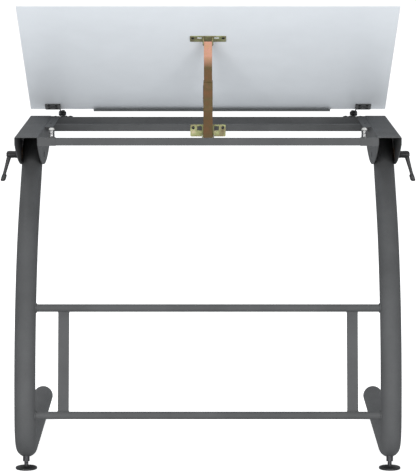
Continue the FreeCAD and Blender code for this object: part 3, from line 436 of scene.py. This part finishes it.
def finish_mesh(name, bm, material, body, replaces=(), smooth=35, at=None):
    """Turns a bmesh into a named piece that rides on a body."""
    bmesh.ops.recalc_face_normals(bm, faces=bm.faces)
    mesh = bpy.data.meshes.new(name)
    if at:
        bmesh.ops.transform(bm, matrix=at, verts=bm.verts)
    for edge in bm.edges:
        edge.smooth = len(edge.link_faces) == 2 and edge.calc_face_angle(0) < math.radians(smooth)
    for face in bm.faces:
        face.smooth = True
    bm.to_mesh(mesh)
    bm.free()
    mesh.materials.append(MATERIALS[material])
    piece = bpy.data.objects.new(name, mesh)
    bpy.context.scene.collection.objects.link(piece)
    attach(piece, body)
    if replaces:
        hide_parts(*replaces)


def bead(bm, path, radius, closed=True, seed=1):
    """A weld bead: a round ripple laid along a path of points."""
    dice = random.Random(seed)
    count = len(path)
    sides = 10
    rings = []
    for index, point in enumerate(path):
        before = path[index - 1] if closed or index else path[0]
        after = path[(index + 1) % count] if closed or index < count - 1 else path[-1]
        along = (after - before).normalized()
        matrix = place_along(point, along, X if abs(along.x) < 0.8 else Z)
        size = radius * (0.86 + 0.14 * math.cos(index * math.pi) + dice.uniform(-0.05, 0.05))
        rings.append([matrix @ Vector((math.cos(a) * size, math.sin(a) * size, 0))
                      for a in (2 * math.pi * k / sides for k in range(sides))])
    if closed:
        loft(bm, rings + [rings[0]], cap=False)
        bmesh.ops.remove_doubles(bm, verts=bm.verts, dist=1e-6)
    else:
        loft(bm, rings)


# ---------------------------------------------------------------- glides, plugs and posts

def glide_parts(word, end):
    """A moulded pad with a domed top and a socket collar, on a threaded stud."""
    low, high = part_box("glide_pad_%s_%s" % (end, word))
    center = (low + high) / 2
    base = Matrix.Translation((center.x, center.y, low.z))
    radius = (high.x - low.x) / 2 / MM
    body = "glide_%s_%s" % (end, word)
    bm = bmesh.new()
    outline = [(0, 0.4), (radius - 4, 0.4), (radius - 3.4, 0), (radius - 1, 0), (radius, 1.2), (radius, 4.4),
               (radius - 1.4, 5.4), (radius * 0.45, 6.6), (6.4, 6.8), (6, 9.2), (3.2, 9.2), (3.1, 6), (0, 6)]
    lathe(bm, base, rounded(outline, 0.9), 72)
    finish_mesh("pad_%s_%s" % (end, word), bm, "black_plastic", body,
                ["glide_pad_%s_%s" % (end, word)])

    low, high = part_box("glide_stud_%s_%s" % (end, word))
    radius = (high.x - low.x) / 2 / MM
    length = (high.z - low.z) / MM
    bm = bmesh.new()
    thread(bm, Matrix.Translation((center.x, center.y, low.z)), radius, length, STUD_PITCH)
    finish_mesh("stud_%s_%s" % (end, word), bm, "boss_steel", body,
                ["glide_stud_%s_%s" % (end, word)], smooth=75)


def thread(bm, matrix, radius, length, pitch, steps=20):
    """A screw thread: a helical ridge wound on a rod."""
    turns = int(length / pitch)
    rows_per_turn = 4
    ridge_height = 0.42
    rows = []
    for row in range(turns * rows_per_turn + 1):
        ring = []
        for index in range(steps):
            share = index / steps
            phase = (row / rows_per_turn - share) % 1.0
            ridge = abs(phase - 0.5) * 2
            size = (radius - ridge_height * ridge) * MM
            angle = 2 * math.pi * share
            rise = row * pitch / rows_per_turn * MM
            ring.append(matrix @ Vector((math.cos(angle) * size, math.sin(angle) * size, rise)))
        rows.append(ring)
    loft(bm, rows)


def foot_plugs():
    """Domed plugs in the front ends of the feet."""
    low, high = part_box("foot_plugs")
    radius = (high.z - low.z) / 2 / MM
    bm = bmesh.new()
    for _, side in SIDES:
        spot = Vector((side * (high.x - radius * MM), low.y, (low.z + high.z) / 2))
        profile = [(0, 0), (radius * 0.55, 0.1), (radius - 2.5, 0.9), (radius, 3.0), (radius, 4.0),
                   (radius - 1.6, 4.02), (radius - 1.6, 10), (0, 10)]
        lathe(bm, place_along(spot, Y), rounded(profile, 1.2), 64)
    finish_mesh("foot_end_plugs", bm, "black_plastic", "base", ["foot_plugs"])


def rest_posts():
    """Turned posts with a flared foot, and a domed bumper pressed into the top of each."""
    low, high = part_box("rest_posts")
    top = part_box("post_bumpers")[1].z
    half_width = 8.5
    posts, bumpers = bmesh.new(), bmesh.new()
    for _, side in SIDES:
        spot = Vector((side * (high.x - half_width * MM), (low.y + high.y) / 2, low.z))
        height = (high.z - low.z) / MM
        profile = [(0, 0), (8.4, 0), (7.6, 1.6), (7, 3.6), (7, 9), (6.6, 9.4), (6.6, 10), (7, 10.4),
                   (7, height - 1), (6.4, height), (0, height)]
        lathe(posts, Matrix.Translation(spot), rounded(profile, 0.5), 56)
        crown = (top - low.z) / MM
        profile = [(0, height - 3), (3, height - 3), (3, height), (6.3, height), (6.6, height + 1.2),
                   (5.8, crown - 1.6), (3.4, crown - 0.2), (0, crown)]
        lathe(bumpers, Matrix.Translation(spot), rounded(profile, 1.2), 48)
    finish_mesh("turned_posts", posts, "post_steel", "frame", ["rest_posts"])
    finish_mesh("domed_bumpers", bumpers, "bumper_rubber", "frame", ["post_bumpers"])


# ---------------------------------------------------------------- levers, knobs and bolts

def lever(word, side):
    """A moulded clamping lever: a ribbed hub and an arm that narrows and swells again at its tip."""
    low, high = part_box("lever_handle_" + word)
    inner = low.x if side > 0 else high.x
    reach = (high.x - low.x) / MM
    drop = (CLAMP.z - low.z) / MM
    root = Vector((inner, CLAMP.y, CLAMP.z))
    bm = bmesh.new()
    hub = [(0, 0.3), (5.2, 0), (8.2, 0), (8.6, 0.8), (8.2, 2.4), (7.8, 3.2), (8.6, 16), (9, 26), (8.2, 31.4),
           (5.6, 33.6), (0, 34)]
    lathe(bm, place_along(root, X * side), rounded(hub, 0.8), 48)
    rings = []
    stations, sides = 40, 28
    hub_out, half_width, half_depth = 26.5, 6.2, 5.4
    tip_drop, narrowing, thinning = 4.5, 2.0, 1.2
    waist, round_off, squareness = 0.74, 0.95, 0.6
    for index in range(stations + 1):
        share = index / stations
        down = share * (drop - tip_drop)
        out = hub_out + (reach - hub_out - half_width) * share ** 1.05
        swell = min(max((share - waist) / 0.06, 0), 1)
        out -= 1.1 * swell
        taper = math.sin(min(share / waist, 1) * math.pi / 2)
        wide = half_width - narrowing * taper + narrowing * swell
        thick = half_depth - thinning * taper + thinning * swell
        if share > round_off:
            ease = math.sqrt(max(1 - ((share - round_off) / 0.062) ** 2, 0.1))
            wide, thick = wide * ease, thick * ease
        ring = []
        for step in range(sides):
            angle = 2 * math.pi * step / sides
            cosine, sine = math.cos(angle), math.sin(angle)
            across = math.copysign(abs(cosine) ** squareness, cosine) * wide
            deep = math.copysign(abs(sine) ** squareness, sine) * thick
            ring.append(root + Vector((side * (out + across), deep, -down)) * MM)
        rings.append(ring)
    loft(bm, rings)
    rib_step, rib_points = 15, 4
    for angle in range(0, 360, rib_step):
        turn = Matrix.Rotation(math.radians(angle), 4, "X")
        start = turn @ Vector((0, 0, 8.1 * MM)) + Vector((side * 4 * MM, 0, 0))
        end = turn @ Vector((0, 0, 8.5 * MM)) + Vector((side * 12 * MM, 0, 0))
        rib = [root + start.lerp(end, k / rib_points) for k in range(rib_points + 1)]
        bead(bm, rib, 0.6 * MM, closed=False)
    finish_mesh("clamp_handle_" + word, bm, "black_plastic", "lever_" + word,
                ["lever_handle_" + word])

    bm = bmesh.new()
    button = [(0, 0), (4.4, 0), (4.4, 0.5), (3.9, 1.2), (0, 1.5)]
    lathe(bm, place_along(root + X * side * 33.7 * MM, X * side), rounded(button, 0.4), 32)
    finish_mesh("handle_button_" + word, bm, "bare_steel", "lever_" + word)


def clamp_bolt(word, side):
    """A round-headed bolt: the low dome shows on the inner side, the plain end stays in the lever."""
    low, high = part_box("clamp_bolt_" + word)
    head_x = low.x if side > 0 else high.x
    start = Vector((head_x, CLAMP.y, CLAMP.z))
    length = (high.x - low.x) / MM
    bm = bmesh.new()
    profile = [(0, 2.6), (4, 2.8), (6, 3.4), (6.8, 4.4), (6.8, 5), (4, 5),
               (4, length - 1), (3.2, length), (0, length)]
    lathe(bm, place_along(start, X * side), rounded(profile, 0.8), 40)
    finish_mesh("carriage_bolt_" + word, bm, "powder_coat", "frame", ["clamp_bolt_" + word])


def hinge_bolt(word, side):
    """The bolt on the hinge line: a dished round head outboard, its plain end inboard in the knob."""
    low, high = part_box("hinge_bolt_" + word)
    outer_x = high.x if side > 0 else low.x
    start = Vector((outer_x, HINGE.y, HINGE.z))
    length = (high.x - low.x) / MM
    bm = bmesh.new()
    profile = [(0, 1.3), (2.4, 1.2), (3.2, 0.2), (4.2, 0), (5.4, 0.6), (6, 1.8), (6, 3), (3, 3),
               (3, length - 0.8), (2.4, length), (0, length)]
    lathe(bm, place_along(start, X * -side), rounded(profile, 0.5), 40)
    finish_mesh("hinge_pivot_bolt_" + word, bm, "post_steel", "board", ["hinge_bolt_" + word])


def knob(word, side):
    """A five-lobed knob with soft edges and a raised middle."""
    low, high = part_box("hinge_knob_" + word)
    inner_x = high.x if side > 0 else low.x
    start = Vector((inner_x, HINGE.y, HINGE.z))
    matrix = place_along(start, X * -side)
    bm = bmesh.new()
    rings = []
    stations = [(0, 0.8), (0.5, 0.92), (1.4, 1), (6.6, 1), (7.8, 0.93), (8.4, 0.8)]
    lobes, core, lobe_height, sides = 5, 4.2, 4.75, 120
    for height, scale in stations:
        ring = []
        for step in range(sides):
            angle = 2 * math.pi * step / sides
            lobe = max(0, math.cos(lobes * angle)) ** 0.75
            size = (core + lobe_height * lobe) * scale
            ring.append(matrix @ (Vector((math.cos(angle) * size, math.sin(angle) * size, height)) * MM))
        rings.append(ring)
    loft(bm, rings)
    cap = [(0, 7.5), (5.4, 7.6), (5.2, 10.6), (4.4, 11.6), (3.3, 11.8), (3.1, 11), (0, 11)]
    lathe(bm, matrix, rounded(cap, 0.6), 40)
    finish_mesh("lobed_knob_" + word, bm, "black_plastic", "knob_" + word,
                ["hinge_knob_" + word])


# ---------------------------------------------------------------- screws

def screw_head(bm, matrix, length, radius=3.8, height=SCREW_HEAD, shank=1.95):
    """A pan head with a cross recess, its shank running back along -Z."""
    spokes, circles = 48, 12
    half_slot, slot_reach, slot_depth = 0.42, 2.2, 1.3
    rim = 0.45
    angles = [2 * math.pi * k / spokes for k in range(spokes)]
    points = []
    for size, z in ((shank, -length + 1.2), (shank, 0), (radius, 0), (radius, height * rim)):
        points.append([Vector((math.cos(angle) * size, math.sin(angle) * size, z)) for angle in angles])
    for circle in range(circles + 1):
        size = radius * (1 - circle / circles) * 0.97 + 0.02
        ring = []
        for angle in angles:
            x, y = math.cos(angle) * size, math.sin(angle) * size
            dome = height * (rim + 0.55 * math.sqrt(max(0, 1 - (size / radius) ** 2)))
            arm = min(max(abs(x), abs(y)) / 2.3, 1)
            slot = min(abs(x), abs(y)) < half_slot and max(abs(x), abs(y)) < slot_reach
            ring.append(Vector((x, y, dome - (slot_depth * (1 - 0.6 * arm) if slot else 0))))
        points.append(ring)
    loft(bm, [[matrix @ (point * MM) for point in ring] for ring in points])


def screw_groups():
    """The screws of the plates and leaves, each group in place of its CAD node."""
    down = ON_BOARD.to_3x3() @ Vector((0, 0, -1))
    front = ON_BOARD.to_3x3() @ Vector((0, -1, 0))
    groups = (
        ("stay_foot_screws", "frame", Y, "black_screw"),
        ("stay_head_screws", "board", down, "black_screw"),
        ("board_hinge_screws", "board", down, "black_screw"),
        ("frame_hinge_screws", "frame", Z, "black_screw"),
        ("ledge_screws", "board", front, "bare_steel"),
    )
    for name, body, direction, material in groups:
        bm = bmesh.new()
        for number, (center, length) in enumerate(solid_heads(name, direction)):
            matrix = place_along(center, direction) @ Matrix.Rotation(0.4 + 1.3 * number, 4, "Z")
            screw_head(bm, matrix, length)
        piece = name.replace("_screws", "_cross_screws")
        finish_mesh(piece, bm, material, body, [name], smooth=40)


def solid_heads(name, direction):
    """For each solid of a screw node: the middle of its head's underside and its shank length in mm."""
    mesh = nodes[name].data
    bm = bmesh.new()
    bm.from_mesh(mesh)
    bmesh.ops.remove_doubles(bm, verts=bm.verts, dist=1e-6)
    left = set(bm.verts)
    found = []
    while left:
        stack = [left.pop()]
        island = list(stack)
        while stack:
            for edge in stack.pop().link_edges:
                for vert in edge.verts:
                    if vert in left:
                        left.remove(vert)
                        stack.append(vert)
                        island.append(vert)
        spots = [vert.co.copy() for vert in island]
        tall = max(spot.dot(direction) for spot in spots)
        short = min(spot.dot(direction) for spot in spots)
        middle = (Vector(map(min, *spots)) + Vector(map(max, *spots))) / 2
        head = middle + direction * (tall - SCREW_HEAD * MM - middle.dot(direction))
        found.append((head, (tall - short) / MM - SCREW_HEAD))
    bm.free()
    return sorted(found, key=lambda item: (round(item[0].x, 4), round(item[0].y, 4)))


# ---------------------------------------------------------------- board, hinges and welds

def board():
    """The laminated panel and its edge band, both with softly broken edges."""
    panel_low, panel_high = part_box("drawing_board")
    band_low, band_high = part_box("edge_band")
    thickness = BOARD_THICKNESS * MM
    depth = (band_high.y - band_low.y - thickness * math.sin(TILT)) / math.cos(TILT)
    width = band_high.x - band_low.x
    band = (width - (panel_high.x - panel_low.x)) / 2
    under, front = board_corner()
    at = ON_BOARD @ Matrix.Translation((0, front + depth / 2, under + thickness / 2))

    bm = slab(width - 2 * band, depth - 2 * band, thickness, 0.2 * MM)
    finish_mesh("melamine_panel", bm, "laminate", "board", ["drawing_board"], at=at)

    bm = bmesh.new()
    rings = []
    outline = [(0, -0.5), (0.75, -0.5), (0.93, -0.46), (1, -0.4),
               (1, 0.4), (0.93, 0.46), (0.75, 0.5), (0, 0.5)]
    for across, up in outline:
        rings.append(rounded_rectangle(width / 2 - band + band * across, depth / 2 - band + band * across,
                                       0.0012 * across + 0.0003, up * thickness))
    loft(bm, rings + [rings[0]], cap=False)
    bmesh.ops.remove_doubles(bm, verts=bm.verts, dist=1e-6)
    finish_mesh("pvc_edge_band", bm, "edging", "board", ["edge_band"], at=at)


def board_corner():
    """The underside's height and the front edge's place in the board's own frame."""
    lowest = min((ON_BOARD.inverted() @ vert.co for vert in nodes["edge_band"].data.vertices),
                 key=lambda spot: (round(spot.z, 5), spot.y))
    return lowest.z, lowest.y


def rounded_rectangle(half_x, half_y, radius, z, steps=5):
    """The points of a level rectangle with round corners, in order."""
    points = []
    for corner in range(4):
        sign_x = (1, -1, -1, 1)[corner]
        sign_y = (1, 1, -1, -1)[corner]
        for step in range(steps + 1):
            angle = math.pi / 2 * (corner + step / steps)
            points.append(Vector((sign_x * (half_x - radius) + math.cos(angle) * radius,
                                  sign_y * (half_y - radius) + math.sin(angle) * radius, z)))
    return points


def slab(width, depth, height, softness):
    """A box about the origin with softly broken edges."""
    bm = bmesh.new()
    bmesh.ops.create_cube(bm, size=1)
    bmesh.ops.scale(bm, vec=(width, depth, height), verts=bm.verts)
    bmesh.ops.bevel(bm, geom=bm.edges[:], offset=softness, segments=2, profile=0.6, affect="EDGES")
    return bm


def hinge_emboss():
    """The two oval rings, one in the other, pressed into each board leaf."""
    inverse = ON_BOARD.inverted()
    leaf_thickness, level = 0.002, 0.0002
    steps = 48
    for word, side in SIDES:
        spots = [inverse @ vert.co for vert in nodes["board_hinge_" + word].data.vertices]
        under = max(spot.z for spot in spots) - leaf_thickness
        flat = [spot for spot in spots if abs(spot.z - under) < level]
        x = (min(s.x for s in flat) + max(s.x for s in flat)) / 2 + side * 0.001
        y = (min(s.y for s in flat) + max(s.y for s in flat)) / 2
        for name, wide, deep, size in (("oval", 10.5, 5.2, 0.9), ("middle", 5.2, 1.4, 0.7)):
            path = []
            for step in range(steps):
                angle = 2 * math.pi * step / steps
                across, along = math.cos(angle) * wide * MM, math.sin(angle) * deep * MM
                path.append(ON_BOARD @ Vector((x + across, y + along, under)))
            bm = bmesh.new()
            tube(bm, path, size * MM)
            finish_mesh("leaf_%s_%s" % (name, word), bm, "hinge_plate", "board", smooth=60)


def tube(bm, path, radius, steps=10):
    """A closed round ring along a path."""
    angles = [2 * math.pi * k / steps for k in range(steps)]
    rings = []
    for index, point in enumerate(path):
        along = (path[(index + 1) % len(path)] - path[index - 1]).normalized()
        matrix = place_along(point, along, ON_BOARD.to_3x3() @ Z)
        rings.append([matrix @ Vector((math.cos(a) * radius, math.sin(a) * radius, 0)) for a in angles])
    loft(bm, rings + [rings[0]], cap=False)
    bmesh.ops.remove_doubles(bm, verts=bm.verts, dist=1e-6)


def leg_slope(z):
    """The leg's lean from upright at a height, read from the leg's own middle line."""
    leg = nodes["leg_right"].data
    reach, gap = 0.02, 0.03

    def middle(height):
        near = [vert.co for vert in leg.vertices if abs(vert.co.z - height) < reach]
        spots = [spot.y for spot in near if spot.y > CLAMP.y]
        return (min(spots) + max(spots)) / 2

    return math.atan2(middle(z - gap) - middle(z + gap), 2 * gap)


def crossbar_welds():
    """Ripple beads where the crossbars meet the legs, and at the ends of the brace strips."""
    leg_low, leg_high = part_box("leg_right")
    radius = (leg_high.x - leg_low.x) / 2
    plane = (leg_high.x + leg_low.x) / 2
    ring_points, strip_points = 44, 22
    for name in ("crossbar_upper", "crossbar_lower"):
        low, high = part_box(name)
        bar = (high.z - low.z) / 2
        y, z = (low.y + high.y) / 2, (low.z + high.z) / 2
        lean = leg_slope(z)
        for word, side in SIDES:
            path = []
            for step in range(ring_points):
                angle = 2 * math.pi * step / ring_points
                off_y, off_z = math.cos(angle) * (bar + 0.0006), math.sin(angle) * (bar + 0.0006)
                away = off_y * math.cos(lean) + off_z * math.sin(lean)
                x = plane - math.sqrt(radius ** 2 - away ** 2)
                path.append(Vector((side * (x - 0.0003), y + off_y, z + off_z)))
            bm = bmesh.new()
            bead(bm, path, 0.0021, seed=len(name) + side)
            finish_mesh("weld_%s_%s" % (name, word), bm, "powder_coat", "base", smooth=60)
        up = 1 if name == "crossbar_lower" else -1
        height = z + up * (bar * 0.98)
        for word, _ in SIDES:
            low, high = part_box("brace_strip_" + word)
            bm = bmesh.new()
            for face in (-1, 1):
                start = Vector((low.x - 0.0005, y + face * 0.0022, height))
                end = Vector((high.x + 0.0005, y + face * 0.0022, height))
                path = [start.lerp(end, k / strip_points) for k in range(strip_points + 1)]
                bead(bm, path, 0.0019, closed=False, seed=face + 7)
            piece = "weld_%s_strip_%s" % (name, word)
            finish_mesh(piece, bm, "powder_coat", "base", smooth=60)


def rail_welds():
    """Beads on the brackets' inner walls, along the rear, lower and front sides of each rail's ends."""
    steps = 9
    for name in ("rail_front", "rail_middle", "rail_rear"):
        low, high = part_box(name)
        for word, side in SIDES:
            x = side * (high.x - 0.0004)
            corners = [Vector((x, y, z)) for y, z in ((high.y, high.z), (high.y, low.z), (low.y, low.z),
                                                      (low.y, high.z))]
            path = []
            for start, end in zip(corners, corners[1:]):
                path += [start + (end - start) * k / steps for k in range(steps)]
            path.append(corners[-1])
            bm = bmesh.new()
            bead(bm, path, 0.0016, closed=False, seed=len(name))
            finish_mesh("weld_%s_%s" % (name, word), bm, "powder_coat", "frame", smooth=60)


def corner_plate_rivets():
    """A rivet on each corner plate at the front rail, and one at the middle rail."""
    _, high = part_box("corner_plates")
    rivet = rounded([(0, 1.7), (2.6, 1.4), (3.4, 0.5), (3.4, -0.3)], 0.5)
    inset = 0.010
    bm = bmesh.new()
    for _, side in SIDES:
        for rail in ("rail_front", "rail_middle"):
            rail_low, rail_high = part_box(rail)
            spot = Vector((side * (high.x - inset), (rail_low.y + rail_high.y) / 2, high.z))
            lathe(bm, Matrix.Translation(spot), rivet, 32)
    finish_mesh("corner_rivets", bm, "powder_coat", "frame")


# ---------------------------------------------------------------- the whole scene

make_materials()
add_camera()
add_studio()
dress_nodes()
board()
for word, side in SIDES:
    for end in ("rear", "front"):
        glide_parts(word, end)
    lever(word, side)
    clamp_bolt(word, side)
    hinge_bolt(word, side)
    knob(word, side)
foot_plugs()
rest_posts()
screw_groups()
hinge_emboss()
crossbar_welds()
rail_welds()
corner_plate_rivets()
